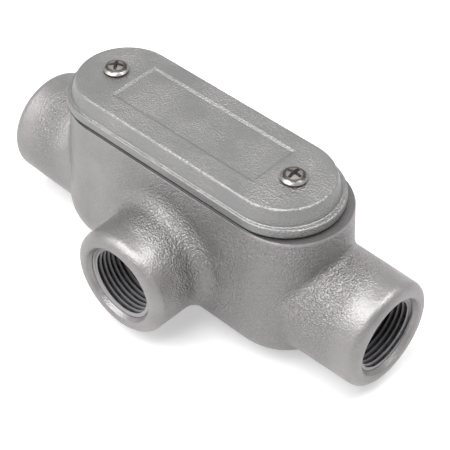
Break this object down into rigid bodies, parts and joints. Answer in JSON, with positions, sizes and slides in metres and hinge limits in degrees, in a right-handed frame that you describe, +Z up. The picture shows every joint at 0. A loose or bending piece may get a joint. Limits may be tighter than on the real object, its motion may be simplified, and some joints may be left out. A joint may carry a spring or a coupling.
{
  "type": "conduit body",
  "caption": "Cast T conduit body with three threaded hubs, a hollow housing, a gasket and a screwed-on domed cover.",
  "frame": {"origin": "on the flat under the belly, straight below the point where the three hub axes cross", "axes": "+X along the run towards the right hub, -Y out of the branch hub, +Z up through the cover"},
  "size_m": [0.158, 0.0657, 0.0675],
  "materials": {
    "casting": "satin cast",
    "cover_casting": "satin cast",
    "gasket": "matt",
    "screws": "nickel plated"
  },
  "bodies": {
    "body": {"body": "casting", "gasket": "gasket"},
    "cover": {"cover": "cover_casting"},
    "screw_left": {"screw_left": "screws"},
    "screw_right": {"screw_right": "screws"}
  },
  "joints": [
    {"name": "cover_lift", "type": "slide", "parent": "body", "child": "cover", "axis": [0, 0, 1], "range_m": [0, 0.03]},
    {"name": "screw_left_turn", "type": "hinge", "parent": "cover", "child": "screw_left", "pos_m": [-0.0421, -0.0004, 0.065], "axis": [0, 0, 1], "continuous": true},
    {"name": "screw_right_turn", "type": "hinge", "parent": "cover", "child": "screw_right", "pos_m": [0.0365, -0.0004, 0.065], "axis": [0, 0, 1], "continuous": true}
  ]
}
